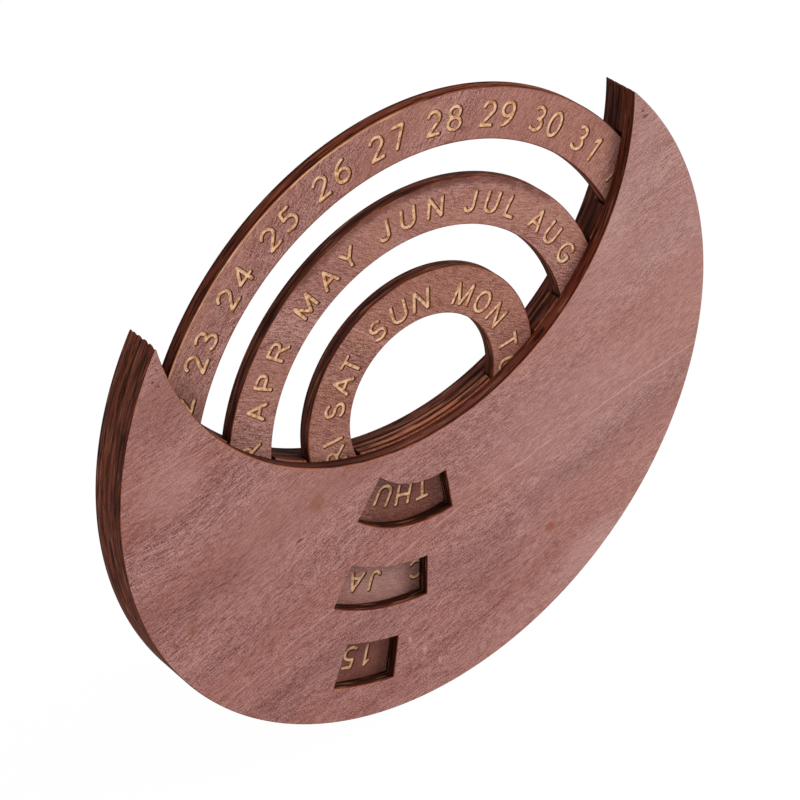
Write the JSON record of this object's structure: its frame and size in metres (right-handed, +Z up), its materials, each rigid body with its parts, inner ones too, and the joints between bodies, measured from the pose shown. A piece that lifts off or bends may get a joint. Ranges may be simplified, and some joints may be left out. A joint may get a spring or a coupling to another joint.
{
  "type": "perpetual desk calendar",
  "caption": "Crescent-shaped wooden desk calendar with concentric date, month and weekday rings that turn behind windows in its front plate.",
  "frame": {"origin": "lowest point of the round rim, half-way through the thickness, under the centre of the rings", "axes": "+Z up through the centre of the crescent's opening, +X to the right seen from the front, the front faces -Y"},
  "size_m": [0.16, 0.0092, 0.1514],
  "materials": {
    "case_wood": "mauve-brown stained plywood, satin, laser-cut edges burnt dark",
    "spacer_wood": "plywood with dark laser-cut edges",
    "ring_wood": "mauve-brown stained plywood, satin, engraved down to the pale wood"
  },
  "bodies": {
    "case": {"front_plate": "case_wood", "back_plate": "case_wood", "rim_spacer": "spacer_wood", "outer_web": "spacer_wood", "inner_web": "spacer_wood", "core_spacer": "spacer_wood"},
    "date_dial": {"date_ring": "ring_wood"},
    "month_dial": {"month_ring": "ring_wood"},
    "weekday_dial": {"weekday_ring": "ring_wood"}
  },
  "joints": [
    {"name": "date_turn", "type": "hinge", "parent": "case", "child": "date_dial", "pos_m": [0, 0, 0.08], "axis": [0, -1, 0], "continuous": true},
    {"name": "month_turn", "type": "hinge", "parent": "case", "child": "month_dial", "pos_m": [0, 0, 0.08], "axis": [0, -1, 0], "continuous": true},
    {"name": "weekday_turn", "type": "hinge", "parent": "case", "child": "weekday_dial", "pos_m": [0, 0, 0.08], "axis": [0, -1, 0], "continuous": true}
  ]
}
